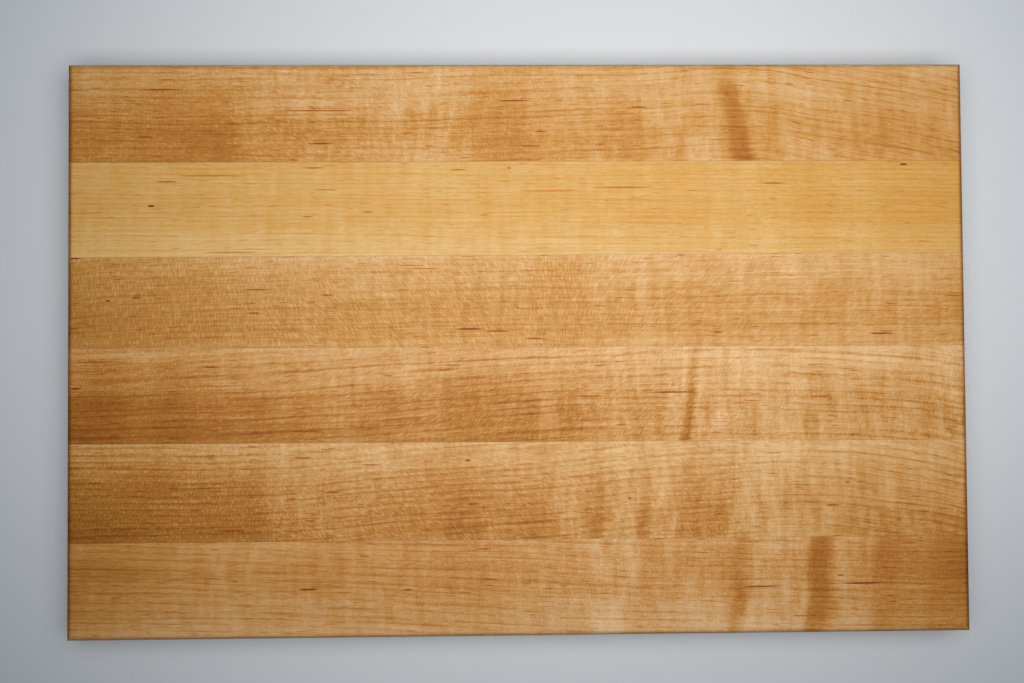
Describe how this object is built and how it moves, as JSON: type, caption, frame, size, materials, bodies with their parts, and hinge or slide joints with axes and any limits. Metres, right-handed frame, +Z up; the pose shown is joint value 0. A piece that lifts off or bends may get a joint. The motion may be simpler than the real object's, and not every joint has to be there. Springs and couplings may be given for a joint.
{
  "type": "cutting board",
  "caption": "Rectangular edge-grain cutting board of maple staves glued side by side, with rounded arrises, for cutting food on a worktop.",
  "frame": {"origin": "centre of the underside, on the surface the board rests on", "axes": "+X along the grain and the board's length, +Y across the staves towards stave_1, +Z up out of the cutting face"},
  "size_m": [0.419, 0.2666, 0.0318],
  "materials": {
    "amber_maple": "oiled satin",
    "pale_maple": "oiled satin",
    "flecked_maple": "oiled satin",
    "honey_maple": "oiled satin",
    "russet_maple": "oiled satin",
    "curly_maple": "oiled satin",
    "wood_glue": "cured, planed flush"
  },
  "bodies": {
    "root": {"stave_1": "amber_maple", "stave_2": "pale_maple", "stave_3": "flecked_maple", "stave_4": "honey_maple", "stave_5": "russet_maple", "stave_6": "curly_maple", "glue_line_1": "wood_glue", "glue_line_2": "wood_glue", "glue_line_3": "wood_glue", "glue_line_4": "wood_glue", "glue_line_5": "wood_glue"}
  },
  "joints": []
}
